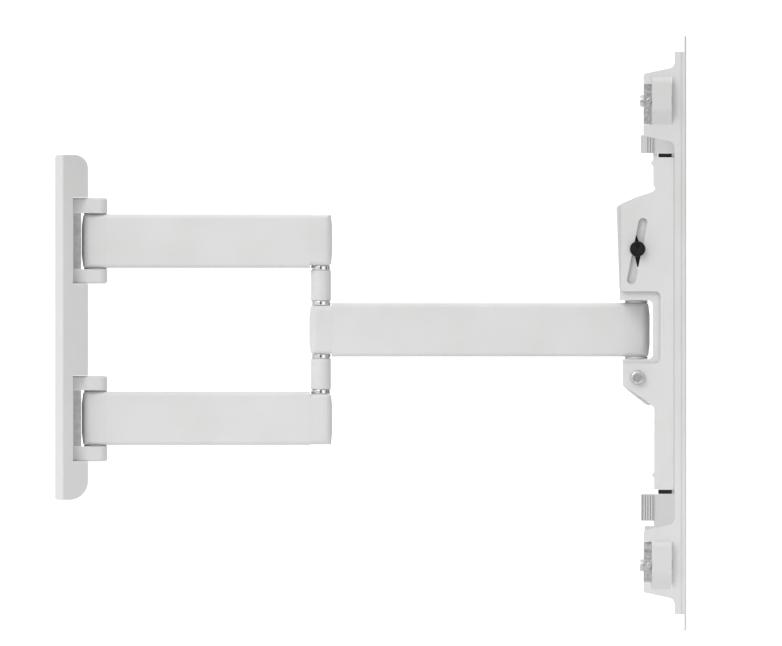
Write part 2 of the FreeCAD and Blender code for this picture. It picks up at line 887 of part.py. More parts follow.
def arm_end(label, axis, facing, middle, low, high, bores, reach="end_reach"):
    """An end fitting: a nose that swells outward, and a plug inside the tube, drilled upright."""
    tip = f"{axis} + {facing} * {reach}"
    shoulder = f"{axis} + {facing} * ({reach} - end_swell)"
    joint = f"{axis} - {facing} * seam"
    plan = body(f"{label}_plan")
    plan_loop = outline(
        (joint, "-1 * arm_half_width"),
        (tip, "-1 * arm_half_width", "end_plan_radius"),
        (tip, "arm_half_width", "end_plan_radius"),
        (joint, "arm_half_width"),
    )
    pad(plan, "z", f"{low} - overrun", f"{high} + overrun", plan_loop)
    side = body(f"{label}_side")
    side_loop = outline(
        (joint, low),
        (shoulder, low, "end_edge"),
        (tip, f"{low} + end_bulge", "end_bulge_radius"),
        (tip, f"{high} - end_bulge", "end_bulge_radius"),
        (shoulder, high, "end_edge"),
        (joint, high),
    )
    pad(side, "y", "-1 * arm_half_width - overrun", "arm_half_width + overrun", side_loop)
    section = body(f"{label}_section")
    section_loop = rectangle("-1 * arm_half_width", "arm_half_width", low, high, "arm_corner")
    pad(section, "x", joint, f"{tip} + {facing}", section_loop)
    nose = combine("MultiCommon", f"{label}_nose", [plan, side, section])
    plug = body(f"{label}_plug")
    plug_loop = rectangle(
        "arm_wall + slide_gap - arm_half_width",
        "arm_half_width - arm_wall - slide_gap",
        f"{middle} + arm_wall + slide_gap - arm_half_height",
        f"{middle} + arm_half_height - arm_wall - slide_gap",
        "arm_corner / 2",
    )
    pad(plug, "x", joint, f"{joint} - {facing} * plug_length", plug_loop)
    solid = combine("MultiFuse", f"{label}_solid", [nose, plug])
    drills = [
        rod(f"{label}_bore_{index}", radius, start, stop, axis)
        for index, (radius, start, stop) in enumerate(bores)
    ]
    keep(cut_away(label, solid, drills))


def arm_tube(label, start, stop, middle, cable_slot=None):
    """A rectangular arm tube, with a long cable slot in its underside where one is given."""
    tube = body(label)

    def section(inset, radius):
        return rectangle(
            f"{inset} - arm_half_width",
            f"arm_half_width - {inset}",
            f"{middle} + {inset} - arm_half_height",
            f"{middle} + arm_half_height - {inset}",
            radius,
        )

    pad(tube, "x", start, stop, section("0", "arm_corner"), section("arm_wall", "arm_corner - arm_wall"))
    if cable_slot:
        first, last = cable_slot
        under = f"{middle} - arm_half_height"
        ends = ((f"{first} + slot_half_width", "0"), (f"{last} - slot_half_width", "0"))
        cable_way = slot(*ends, "slot_half_width")
        pocket(tube, "z", f"{under} - overrun", f"{under} + arm_wall + overrun", cable_way)
    keep(tube)


def cable_strip(label, start, stop, middle):
    """The snap-in strip that closes the middle of a cable slot, flush with the arm."""
    strip = body(label)
    under = f"{middle} - arm_half_height"
    half = "slot_half_width - slide_gap"
    catch = f"{under} + arm_wall + slide_gap"
    leg_top = f"{under} + strip_leg_height"
    right = [
        (half, under),
        (half, catch),
        (f"{half} + strip_barb", catch),
        (half, leg_top),
        (f"{half} - strip_leg", leg_top),
        (f"{half} - strip_leg", f"{under} + strip_skin"),
    ]
    left = [(f"-1 * ({across})", up) for across, up in reversed(right)]
    pad(strip, "x", start, stop, outline(*right, *left))
    keep(strip)


def rear_arms():
    """The upper and lower rear arms with their fittings, wall bushes and the lower cable strip."""
    for name, level in LEVELS:
        middle = f"{level} * arm_level"
        low = f"{middle} - arm_half_height"
        high = f"{middle} + arm_half_height"
        channel = ("lower_slot_start", "lower_slot_end") if name == "lower" else None
        arm_tube(f"{name}_arm_tube", "wall_axis + seam", "elbow_axis - seam", middle, channel)
        through = [("bush_radius + fit", f"{low} - overrun", f"{high} + overrun")]
        arm_end(f"{name}_arm_wall_end", "wall_axis", "-1", middle, low, high, through)
        elbow_low, elbow_high = ("elbow_seat", "elbow_outer")
        if level == "-1":
            elbow_low, elbow_high = ("-1 * elbow_outer", "-1 * elbow_seat")
        bores = [
            ("pin_radius + fit", f"{elbow_low} - overrun", f"{elbow_high} + overrun"),
            ("counterbore_radius", f"{level} * elbow_counterbore", f"{level} * (elbow_outer + overrun)"),
        ]
        spans = (middle, elbow_low, elbow_high)
        arm_end(f"{name}_arm_elbow_end", "elbow_axis", "1", *spans, bores, "elbow_reach")
        bushes = []
        for face in SIGNS:
            bush = flanged_bush(
                f"{name}_arm_bush_{end_of(face)[1]}{face.replace('-1', '0')}",
                "pin_radius + fit",
                "bush_radius",
                "bush_length",
                "bush_flange_radius",
                "bush_flange",
            )
            bushes.append(stand(bush, end_of(face), "wall_axis", "0", f"{middle} + {face} * arm_half_height"))
        keep_all(f"{name}_arm_bushes", bushes)
    cable_strip("lower_arm_cable_strip", "lower_strip_start", "lower_strip_end", "-1 * arm_level")


def elbow():
    """The elbow shaft and what is stacked on it between the rear arms."""
    length = "elbow_counterbore + elbow_end"
    shaft = bolt("elbow_shaft", "pin_radius", length, "pin_head_radius", "pin_head_height")
    keep(stand(shaft, "+z", "elbow_axis", "0", "elbow_counterbore"))
    lock = nut("elbow_nut", "pin_radius + fit", "nut_radius", "elbow_nut_height")
    keep(stand(lock, "-z", "elbow_axis", "0", "-1 * elbow_counterbore"))
    caps = []
    for name, level in LEVELS:
        form = ("pin_radius + fit", "ring_radius", "ring_height", "ring_round")
        outer_ring = ring(f"elbow_ring_outer_{name}", *form)
        stand(outer_ring, end_of(level), "elbow_axis", "0", f"{level} * (elbow_seat - ring_height)")
        inner_ring = ring(f"elbow_ring_inner_{name}", *form)
        stand(inner_ring, end_of(level), "elbow_axis", "0", f"{level} * front_end_half_height")
        keep_all(f"elbow_rings_{name}", [outer_ring, inner_ring])
        height = "elbow_seat - front_end_half_height - 2 * ring_height"
        sleeve = ring(f"elbow_sleeve_{name}", "pin_radius + fit", "sleeve_radius", height, "sleeve_edge")
        level_start = f"{level} * (front_end_half_height + ring_height)"
        keep(stand(sleeve, end_of(level), "elbow_axis", "0", level_start))
        cap = disc(f"elbow_cap_{name}", "counterbore_radius - fit", "cap_height")
        caps.append(stand(cap, end_of(level), "elbow_axis", "0", f"{level} * (elbow_outer - cap_height)"))
    keep_all("elbow_caps", caps)


def front_arm():
    """The front arm with its fittings, bushes and cable strip."""
    channel = ("front_slot_start", "front_slot_end")
    arm_tube("front_arm_tube", "elbow_axis + seam", "head_axis - seam", "0", channel)
    half = "(front_end_half_height - slide_gap)"
    bore = [("bush_radius + fit", f"-1 * {half} - overrun", f"{half} + overrun")]
    arm_end("front_arm_elbow_end", "elbow_axis", "-1", "0", f"-1 * {half}", half, bore, "elbow_reach")
    bore = [("swivel_bush_radius + fit", "-1 * arm_half_height - overrun", "arm_half_height + overrun")]
    arm_end("front_arm_head_end", "head_axis", "1", "0", "-1 * arm_half_height", "arm_half_height", bore)
    elbow_bushes = []
    head_bushes = []
    for name, face in LEVELS:
        sleeve = ring(f"elbow_bush_{name}", "pin_radius + fit", "bush_radius", "bush_length")
        sleeve_start = f"{face} * ({half} - bush_length)"
        elbow_bushes.append(stand(sleeve, end_of(face), "elbow_axis", "0", sleeve_start))
        bush = flanged_bush(
            f"head_bush_{name}",
            "swivel_radius + fit",
            "swivel_bush_radius",
            "bush_length",
            "bush_flange_radius",
            "swivel_flange",
        )
        head_bushes.append(stand(bush, end_of(face), "head_axis", "0", f"{face} * arm_half_height"))
    keep_all("front_arm_elbow_bushes", elbow_bushes)
    keep_all("front_arm_head_bushes", head_bushes)
    cable_strip("front_arm_cable_strip", "front_strip_start", "front_strip_end", "0")


# Head: the yoke on the swivel pin, and the bolts that the frame tilts on


def lock_spot(tilt):
    """Where the lock bolt is on the yoke when the frame is tilted by an angle in degrees."""
    run = f"(-1 * lock_run_per_degree * ({tilt}))"
    across = f"(lock_x - tilt_x + {run} * sin(lock_lean))"
    up = f"(lock_z - tilt_z + {run} * cos(lock_lean))"
    return (
        f"tilt_x + {across} * cos({tilt}) + {up} * sin({tilt})",
        f"tilt_z - {across} * sin({tilt}) + {up} * cos({tilt})",
    )


def head_yoke():
    """The folded yoke: two sides with a window for the arm, a sloping web and two lugs for the pin."""
    yoke = body("head_yoke")
    side_loop = outline(
        ("yoke_top_left", "yoke_top", "yoke_corner"),
        ("yoke_foot_left", "yoke_window"),
        ("yoke_window_right", "yoke_window", "window_corner"),
        ("yoke_window_right", "-1 * yoke_window", "window_corner"),
        ("yoke_lower_left", "-1 * yoke_window"),
        ("yoke_lower_left", "frame_lower", "yoke_corner"),
        ("yoke_chin_left", "yoke_bottom", "yoke_chin_radius"),
        ("yoke_right", "yoke_chin", "yoke_corner"),
        ("yoke_right", "yoke_waist", "yoke_waist_radius"),
        ("yoke_top_right", "yoke_top", "yoke_corner"),
    )
    pivot = circle("tilt_x", "tilt_z", "tilt_radius + fit")
    inner = "yoke_half_width - yoke_sheet"
    for side in SIGNS:
        pad(yoke, "y", f"{side} * ({inner})", f"{side} * yoke_half_width", side_loop, pivot)
    web_loop = outline(
        ("yoke_top_left", "yoke_web_top"),
        ("yoke_foot_left", "yoke_window"),
        ("yoke_foot_left + yoke_sheet", "yoke_window"),
        ("yoke_top_left + yoke_sheet", "yoke_web_top"),
    )
    pad(yoke, "y", f"-1 * ({inner})", inner, web_loop)
    hole = circle("head_axis", "0", "swivel_radius + fit")
    for level in SIGNS:
        left = "yoke_foot_left" if level == "1" else "yoke_lower_left"
        lug = rectangle(left, "yoke_right", f"-1 * ({inner})", inner)
        pad(yoke, "z", f"{level} * yoke_window", f"{level} * (yoke_window + yoke_lug)", lug, hole)
    neutral = lock_spot("0")
    for limit in (lock_spot("-1 * tilt_up"), lock_spot("tilt_down")):
        run = slot(neutral, limit, "lock_slot_radius")
        pocket(yoke, "y", "-1 * yoke_half_width - overrun", "yoke_half_width + overrun", run)
    keep(yoke)


def swivel_pin():
    """The upright pin through the yoke's lugs and the front arm, with its nut on top."""
    length = "2 * (yoke_window + yoke_lug) + swivel_nut_height"
    lug_face = "(yoke_window + yoke_lug)"
    pin = bolt("swivel_pin", "swivel_radius", length, "swivel_head_radius", "swivel_head_height")
    keep(stand(pin, "-z", "head_axis", "0", f"-1 * {lug_face}"))
    lock = nut("swivel_nut", "swivel_radius + fit", "swivel_nut_radius", "swivel_nut_height")
    keep(stand(lock, "+z", "head_axis", "0", lug_face))


def tilt_pivots():
    """The two short bolts that the frame tilts on, with washers outside and nuts inside the yoke."""
    washers = []
    for name, side in SIDES:
        outward = side_of(side)
        inward = "-y" if outward == "+y" else "+y"
        seat = "(frame_outer + slide_gap + washer_height)"
        nut_seat = "(yoke_half_width - yoke_sheet)"
        length = f"{seat} - {nut_seat} + tilt_nut_height"
        pivot = bolt(f"tilt_bolt_{name}", "tilt_radius", length, "tilt_head_radius", "tilt_head_height")
        keep(stand(pivot, outward, "tilt_x", f"{side} * {seat}", "tilt_z"))
        lock = nut(f"tilt_nut_{name}", "tilt_radius + fit", "tilt_nut_radius", "tilt_nut_height")
        keep(stand(lock, inward, "tilt_x", f"{side} * {nut_seat}", "tilt_z"))
        outer = ring(f"tilt_washer_{name}", "tilt_radius + fit", "tilt_washer_radius", "washer_height")
        washers.append(stand(outer, outward, "tilt_x", f"{side} * (frame_outer + slide_gap)", "tilt_z"))
        friction = ring(f"tilt_friction_{name}", "tilt_radius + fit", "friction_radius", "washer_height")
        washers.append(stand(friction, outward, "tilt_x", f"{side} * yoke_half_width", "tilt_z"))
    keep_all("tilt_washers", washers)


# Tilting frame


def spine_nick(edge, level):
    """The corners of a small nick that stands out from the spine's edge, from its top down."""
    out = f"{edge} - nick_depth"
    return [
        (edge, f"{level} + nick_half_height + nick_slope"),
        (out, f"{level} + nick_half_height"),
        (out, f"{level} - nick_half_height"),
        (edge, f"{level} - nick_half_height - nick_slope"),
    ]


def along_slot(run):
    """The point of the frame's lock slot at a run from the lock's rest."""
    return (f"lock_x + ({run}) * sin(lock_lean)", f"lock_z + ({run}) * cos(lock_lean)")


def tilt_frame():
    """The frame: side plates with the arm's window, and a spine whose tongues reach both rails."""
    frame = body("tilt_frame")
    plate_loop = outline(
        ("spine_front", "spine_top"),
        ("spine_edge + spine_tab", "spine_top"),
        ("spine_edge + spine_tab", "rail_middle + saddle_top_near - slide_gap"),
        ("spine_edge", "rail_middle + saddle_top_near - slide_gap"),
        *spine_nick("spine_edge", "top_nick"),
        ("spine_edge", "plate_root"),
        ("plate_notch_left", "plate_notch", "plate_notch_radius"),
        ("plate_top_right", "plate_top", "frame_corner"),
        ("plate_brow_left", "plate_brow", "plate_brow_radius"),
        ("plate_left", "plate_shoulder", "plate_corner_radius"),
        ("plate_left", "frame_window_top", "plate_corner_radius"),
        ("frame_window_right", "frame_window_top", "window_corner"),
        ("frame_window_right", "frame_window_bottom", "window_corner"),
        ("plate_foot_left", "frame_window_bottom"),
        ("plate_foot_left", "frame_lower", "frame_corner"),
        ("frame_heel_left", "frame_heel", "frame_heel_radius"),
        ("lower_edge", "frame_foot", "frame_corner"),
        *spine_nick("lower_edge", "bottom_nick"),
        ("lower_edge", "spine_bottom"),
        ("spine_front", "spine_bottom"),
    )
    pivot = circle("tilt_x", "tilt_z", "tilt_radius + fit")
    top_end = along_slot("tilt_up * lock_run_per_degree + lock_slot_room")
    low_end = along_slot("-1 * tilt_down * lock_run_per_degree - lock_slot_foot")
    lock_slot = slot(low_end, top_end, "lock_slot_radius")
    for side in SIGNS:
        pad(frame, "y", f"{side} * frame_inner", f"{side} * frame_outer", plate_loop, pivot, lock_slot)
    spine_loop = outline(
        ("frame_outer", "spine_top"),
        ("tongue_half_width", "spine_top"),
        ("tongue_half_width", "tongue_top", "tongue_corner"),
        ("-1 * tongue_half_width", "tongue_top", "tongue_corner"),
        ("-1 * tongue_half_width", "spine_top"),
        ("-1 * frame_outer", "spine_top"),
        ("-1 * frame_outer", "spine_bottom"),
        ("-1 * tongue_half_width", "spine_bottom"),
        ("-1 * tongue_half_width", "tongue_bottom", "tongue_corner"),
        ("tongue_half_width", "tongue_bottom", "tongue_corner"),
        ("tongue_half_width", "spine_bottom"),
        ("frame_outer", "spine_bottom"),
    )
    holes = [circle(across, up, "saddle_screw_radius + slide_gap") for across, up in saddle_screw_spots()]
    openings = [
        slot(("0", f"{place}_slot_high"), ("0", f"{place}_slot_low"), "spine_slot_radius")
        for place in ("upper", "lower")
    ]
    pad(frame, "x", "rail_front", "spine_front", spine_loop, *holes, *openings)
    front = value("spine_front")
    outer = value("frame_outer")
    tall = value("spine_top") - value("spine_bottom") - 1

    def at_bend(middle, length):
        return abs(middle.x - front) < 0.01 and abs(abs(middle.y) - outer) < 0.01 and length > tall

    soften(frame, "sheet_bend", at_bend)
    keep(frame)


def saddle_buffers():
    """The nylon buffers on the spine's tongues that fill the gap to each saddle."""
    buffers = []
    top = ("spine_top + buffer_gap", "rail_middle + saddle_top_near - buffer_gap")
    bottom = ("rail_middle - saddle_bottom_near + buffer_gap", "spine_bottom - buffer_gap")
    for name, (low, high) in (("top", top), ("bottom", bottom)):
        made = body(f"saddle_buffer_{name}")
        block = rectangle("-1 * tongue_half_width", "tongue_half_width", low, high)
        pad(made, "x", "buffer_left", "rail_front", block)
        buffers.append(made)
    keep_all("saddle_buffers", buffers)


def rail_level(level):
    """The height of a rail's middle, for a sign."""
    return f"rail_middle + {level} * rail_up"


def saddle_screw_spots():
    """Where the saddle screws pass through the rails, across and up."""
    return [
        (f"{side} * saddle_screw_across", rail_level(level))
        for level in SIGNS
        for side in SIGNS
    ]


def rails():
    """The two cross rails: slotted rectangular tube with a cap on each end."""
    for name, level in (("top_rail", "1"), ("bottom_rail", "-1")):
        rail = body(name)
        pad(
            rail,
            "y",
            "-1 * rail_half_length",
            "rail_half_length",
            rail_section("0", "rail_corner", level),
            rail_section("rail_wall", "rail_corner / 2", level),
        )
        middle = rail_level(level)
        for side in SIGNS:
            ends = ((f"{side} * rail_slot_start", middle), (f"{side} * rail_slot_end", middle))
            hole = circle(f"{side} * saddle_screw_across", middle, "saddle_screw_radius + slide_gap")
            long_slot = slot(*ends, "rail_slot_radius")
            pocket(rail, "x", "rail_back - overrun", "rail_front + overrun", long_slot, hole)
        keep(rail)


def rail_section(inset, radius, level):
    """A rail's outline seen along its length, inset by a distance."""
    middle = rail_level(level)
    return rectangle(
        f"rail_back + {inset}",
        f"rail_front - ({inset})",
        f"{middle} - rail_half_height + {inset}",
        f"{middle} + rail_half_height - ({inset})",
        radius,
    )


def rail_caps():
    """The moulded caps in the rail ends, top and bottom as one node on each side."""
    for name, side in SIDES:
        caps = []
        for height, level in (("top", "1"), ("bottom", "-1")):
            cap = body(f"{height}_rail_cap_{name}")
            end = f"{side} * rail_half_length"
            plug = rail_section("rail_wall + slide_gap", "rail_corner / 2", level)
            pad(cap, "y", f"{side} * (rail_half_length - rail_cap_plug)", end, plug)
            face = f"{side} * (rail_half_length + rail_cap)"
            low = f"{rail_level(level)} - rail_half_height"
            high = f"{rail_level(level)} + rail_half_height"
            chin = (face, f"{low} + rail_cap_chin", "rail_cap_chin_radius")
            head = outline((end, low), chin, (face, high, "rail_cap_edge"), (end, high))
            pad(cap, "x", "rail_back", "rail_front", head)
            caps.append(cap)
        keep_all(f"rail_caps_{name}", caps)


def saddle(name, level, near, lip_end, ribs, slit):
    """A saddle: a web against the rail, cheeks that hold it from above and below, and ribbed lips."""
    made = body(f"saddle_{name}")

    def at(distance):
        return f"rail_middle + {level} * ({distance})"

    rail_near = "rail_up - rail_half_height"
    rail_far = "rail_up + rail_half_height + fit"
    web = rectangle("-1 * saddle_outer", "saddle_outer", at(near), at("saddle_far"))
    holes = [
        circle(f"{side} * saddle_screw_across", rail_level(level), "saddle_screw_radius + slide_gap")
        for side in SIGNS
    ]
    pad(made, "x", "rail_back - saddle_sheet", "rail_back", web, *holes)
    near_cheek = outline(
        ("saddle_left", at(near)),
        ("saddle_right", at(near)),
        ("saddle_right", at(f"{rail_near} - fit")),
        ("saddle_left", at(f"{rail_near} - fit"), "saddle_corner"),
    )
    far_cheek = outline(
        ("saddle_left", at("saddle_notch"), "saddle_corner"),
        ("rail_back", at("saddle_notch")),
        ("rail_back", at(rail_far)),
        ("saddle_right", at(rail_far)),
        ("saddle_right", at("saddle_far"), "saddle_edge"),
        ("saddle_left", at("saddle_far"), "saddle_corner"),
    )
    for side in SIGNS:
        inner = f"{side} * (saddle_outer - saddle_sheet)"
        pad(made, "y", inner, f"{side} * saddle_outer", near_cheek, far_cheek)
    lip = rectangle("lip_left", "lip_right", at(near), at(lip_end), "lip_corner")
    for side in SIGNS:
        pad(made, "y", f"{side} * (saddle_outer - lip_inset)", f"{side} * (saddle_outer + lip_proud)", lip)
    bar = rectangle("lip_left", "saddle_left + saddle_sheet", at(near), at(lip_end), "bar_corner")
    pad(made, "y", "-1 * saddle_outer", "saddle_outer", bar)
    for index in range(ribs):
        left = f"rib_last - {index} * rib_pitch"
        gap = rectangle(left, f"{left} + rib_gap", at(f"{near} - overrun"), at(f"{lip_end} + overrun"))
        for side in SIGNS:
            floor = f"{side} * (saddle_outer + lip_proud - rib_depth)"
            pocket(made, "y", floor, f"{side} * (saddle_outer + lip_proud + overrun)", gap)
    if slit:
        gap = rectangle("lip_left - overrun", "lip_right", at(lip_end), at(f"{lip_end} + saddle_slit"))
        across = "saddle_outer + lip_proud + overrun"
        pocket(made, "y", f"-1 * ({across})", across, gap)
    keep(made)


def saddle_fasteners():
    """The screws that clamp each saddle, rail and spine tongue together, and their nuts."""
    screws = []
    nuts = []
    head_seat = "rail_back - saddle_sheet"
    for index, (across, up) in enumerate(saddle_screw_spots()):
        screw = bolt(
            f"saddle_screw_{index}",
            "saddle_screw_radius",
            f"spine_front - ({head_seat}) + saddle_nut_height",
            "saddle_screw_head",
            "saddle_screw_head_height",
        )
        screws.append(stand(screw, "-x", head_seat, across, up))
        bore = "saddle_screw_radius + fit"
        lock = nut(f"saddle_nut_{index}", bore, "saddle_nut_radius", "saddle_nut_height")
        nuts.append(stand(lock, "+x", "spine_front", across, up))
    keep_all("saddle_screws", screws)
    keep_all("saddle_nuts", nuts)


def tilt_lock():
    """The lock bolt across the head, with its nut, washers and the guides inside the yoke."""
    seat = "(frame_outer + slide_gap + washer_height)"
    length = f"2 * {seat} + lock_hex_height + lock_end"
    lock_bolt = hex_bolt(
        "lock_bolt", "lock_radius", length, "lock_hex_radius", "lock_washer_radius", "lock_head_height"
    )
    keep(stand(lock_bolt, "-y", "lock_x", f"-1 * {seat}", "lock_z"))
    lock_nut = nut("lock_nut", "lock_radius + fit", "lock_hex_radius", "lock_hex_height")
    keep(stand(lock_nut, "+y", "lock_x", seat, "lock_z"))
    washers = []
    for name, side in SIDES:
        outer = ring(f"lock_washer_{name}", "lock_radius + fit", "lock_washer_radius", "washer_height")
        washers.append(stand(outer, side_of(side), "lock_x", f"{side} * (frame_outer + slide_gap)", "lock_z"))
        height = "frame_inner - yoke_half_width - 2 * slide_gap"
        friction = ring(f"lock_friction_{name}", "lock_radius + fit", "lock_washer_radius", height)
        base = f"{side} * (yoke_half_width + slide_gap)"
        washers.append(stand(friction, side_of(side), "lock_x", base, "lock_z"))
        guide = body(f"lock_guide_{name}")
        loop = outline(
            ("guide_left", "guide_low"),
            ("guide_right", "guide_low"),
            ("guide_right", "guide_top"),
            ("guide_top_left", "guide_top"),
            ("guide_left", "guide_shoulder"),
        )
        bore = circle("lock_x", "lock_z", "lock_radius + fit")
        inner = f"{side} * (yoke_half_width - yoke_sheet - slide_gap)"
        pad(guide, "y", f"{inner} - {side} * guide_thickness", inner, loop, bore)
        washers.append(guide)
    keep_all("lock_washers", washers)


# Television brackets


def bracket_flange():
    """A bracket's side seen across: a strip with two ears that hook over the rails."""

    def ear(level):
        """The corners round one ear, from its far root to its near root."""

        def at(distance):
            return f"rail_middle + {level} * ({distance})"

        back_gap = "rail_back - ear_gap"
        front_gap = "rail_front + ear_gap"
        notch_far = at("rail_up + rail_half_height + slide_gap")
        notch_near = at("rail_up - rail_half_height - slide_gap")
        return [
            ("bracket_back", at("bracket_flange_end")),
            ("bracket_back", at("ear_far_root"), "ear_bend"),
            ("ear_left", at("ear_far"), "ear_corner"),
            ("ear_left", at("ear_lip")),
            (back_gap, at("ear_lip")),
            (back_gap, notch_far),
            (front_gap, notch_far),
            (front_gap, notch_near),
            ("ear_left", notch_near),
            ("ear_left", at("ear_near"), "ear_corner"),
            ("bracket_back", at("ear_near_root"), "ear_bend"),
        ]

    top = ear("1")
    bottom = list(reversed(ear("-1")))
    front = "bracket_face - bracket_sheet / 2"
    ends = [(front, "rail_middle - bracket_flange_end"), (front, "rail_middle + bracket_flange_end")]
    return outline(*top, *bottom, *ends)


def television_bracket(name, side):
    """An upright bracket: a holed channel against the television, hooked over both rails."""
    made = body(f"vesa_bracket_{name}")
    middle = f"{side} * bracket_across"
    low = f"{middle} - bracket_half_width"
    high = f"{middle} + bracket_half_width"
    holes = [
        circle(middle, f"rail_middle + {step} * vesa_pitch", "vesa_hole_radius")
        for step in (-4, -3, -2, -1, 1, 2, 3, 4)
    ]
    face = rectangle(low, high, "bracket_bottom", "bracket_top", "bracket_corner")
    pad(made, "x", "bracket_face - bracket_sheet", "bracket_face", face, *holes)
    loop = bracket_flange()
    pad(made, "y", low, f"{low} + bracket_sheet", loop)
    pad(made, "y", f"{high} - bracket_sheet", high, loop)
    groove = rectangle(
        "groove_left",
        "groove_right",
        "rail_middle - bracket_flange_end - overrun",
        "rail_middle + bracket_flange_end + overrun",
    )
    pocket(made, "y", f"{low} - overrun", f"{low} + groove_depth", groove)
    pocket(made, "y", f"{high} - groove_depth", f"{high} + overrun", groove)
    front = value("bracket_face")
    edges = (value(low), value(high))
    tall = value("2 * bracket_flange_end")

    def at_bend(middle, length):
        beside = min(abs(middle.y - edge) for edge in edges)
        return abs(middle.x - front) < 0.01 and beside < 0.01 and length > tall

    soften(made, "bracket_sheet - slide_gap", at_bend)
    keep(made)


def clamp_fasteners(name, side):
    """The bolts, blocks and plates that pinch the rails at one bracket, and a set screw in each block."""
    bolts = []
    plates = []
    middle = f"{side} * bracket_across"
    seat = "(rail_back - slide_gap - clamp_block)"
    start = "(rail_front + clamp_gap)"
    length = f"{start} + clamp_plate + clamp_end - {seat}"
    low = f"{middle} - bracket_half_width + bracket_sheet + slide_gap"
    high = f"{middle} + bracket_half_width - bracket_sheet - slide_gap"
    outer_face = f"{side} * (bracket_across + bracket_half_width - bracket_sheet - slide_gap)"
    for index, level in enumerate(SIGNS):
        up = rail_level(level)
        head = ("clamp_head_radius", "clamp_head_height")
        clamp = bolt(f"clamp_bolt_{name}_{index}", "clamp_radius", length, *head)
        bolts.append(stand(clamp, "-x", seat, middle, up))
        bore = circle(middle, up, "clamp_radius + fit")
        block_near = f"{up} - {level} * (rail_half_height - slide_gap)"
        block_far = f"rail_middle + {level} * (ear_lip - slide_gap)"
        spans = (
            ("clamp_block", seat, block_near, block_far),
            ("clamp_plate", start, f"{up} - clamp_plate_half_height", f"{up} + clamp_plate_half_height"),
        )
        for kind, back, near, far in spans:
            made = body(f"{kind}_{name}_{index}")
            pad(made, "x", back, f"{back} + {kind}", rectangle(low, high, near, far), bore)
            plates.append(made)
        drill = circle("set_across", up, "set_radius + fit")
        bottom = f"{outer_face} - {side} * (set_length + slide_gap)"
        pocket(plates[-2], "y", bottom, f"{outer_face} + {side} * overrun", drill)
        head = ("set_head_radius", "set_head_height")
        set_screw = bolt(f"set_screw_{name}_{index}", "set_radius", "set_length", *head)
        bolts.append(stand(set_screw, side_of(side), "set_across", outer_face, up))
    keep_all(f"clamp_bolts_{name}", bolts)
    keep_all(f"clamp_plates_{name}", plates)


def check_and_write():
    """Check every object, then write each node's shape to its own file."""
    doc.recompute()
    failed = [made.Label for made in doc.Objects if {"Invalid", "Error"} & set(made.State)]
    broken = [made.Label for made in nodes if made.Shape.isNull() or not made.Shape.isValid()]
    if failed or broken:
        raise RuntimeError(f"failed: {failed}, broken: {broken}")
    os.makedirs("parts", exist_ok=True)
    for made in nodes:
        made.Shape.exportStep(f"parts/{made.Label}.step")
        print(made.Label, len(made.Shape.Solids), round(made.Shape.Volume))
    print(len(nodes), "nodes")


wall_plate()
wall_cover()
for clevis_name, clevis_level in LEVELS:
    clevis(clevis_name, clevis_level)
clevis_pads()
clevis_screws()
wall_pins()
rear_arms()
elbow()
front_arm()
head_yoke()
swivel_pin()
tilt_pivots()
tilt_frame()
saddle_buffers()
rails()
rail_caps()
saddle("top", "1", "saddle_top_near", "saddle_top_lip", ribs=3, slit=False)
saddle("bottom", "-1", "saddle_bottom_near", "saddle_bottom_lip", ribs=5, slit=True)
saddle_fasteners()
tilt_lock()
for bracket_name, bracket_side in SIDES:
    television_bracket(bracket_name, bracket_side)
    clamp_fasteners(bracket_name, bracket_side)
check_and_write()
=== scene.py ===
import json
import math

import bmesh
import bpy
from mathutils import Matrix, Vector

# Looks for the full-motion television wall mount. Every length is in metres, in the frame of the model:
# X out from the wall, Z up, and the middle plane at Y = 0. The mount hangs on a wall that isn't shown.

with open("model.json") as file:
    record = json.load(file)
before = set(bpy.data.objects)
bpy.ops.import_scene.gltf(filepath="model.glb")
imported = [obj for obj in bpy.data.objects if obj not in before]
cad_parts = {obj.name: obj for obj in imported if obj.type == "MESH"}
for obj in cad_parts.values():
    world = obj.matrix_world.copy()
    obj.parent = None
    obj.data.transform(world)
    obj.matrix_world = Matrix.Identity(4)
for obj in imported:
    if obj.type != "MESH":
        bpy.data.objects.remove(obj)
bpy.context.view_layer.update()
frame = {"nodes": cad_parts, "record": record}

MM = 0.001
SLOT_OF = {part["node"]: part["material_slot"] for part in frame["record"]["subparts"]}


# Node-tree helpers


def socket_name(word):
    """A socket's own name from a keyword, such as "Coat Weight" from coat_weight."""
    return word.replace("_", " ").title().replace("Ior", "IOR")


class Tree:
    """A node tree under construction."""

    def __init__(self, tree):
        self.tree = tree

    def node(self, kind, **settings):
        """Add a node. A setting named like a socket sets it, any other sets the node itself."""
        made = self.tree.nodes.new(kind)
        for name, value in settings.items():
            if socket_name(name) in made.inputs:
                made.inputs[socket_name(name)].default_value = value
            else:
                setattr(made, name, value)
        return made

    def link(self, source, target):
        self.tree.links.new(source, target)

    def spread(self, value, low, high, start=0.3, stop=0.7):
        """Stretch a value between start and stop over the range from low to high."""
        stretch = self.node("ShaderNodeMapRange")
        for name, number in (("From Min", start), ("From Max", stop), ("To Min", low), ("To Max", high)):
            stretch.inputs[name].default_value = number
        self.link(value, stretch.inputs["Value"])
        return stretch.outputs["Result"]

    def work(self, operation, first, second):
        """A sum, product or other operation of two values."""
        made = self.node("ShaderNodeMath", operation=operation)
        self.link(first, made.inputs[0])
        self.link(second, made.inputs[1])
        return made.outputs["Value"]


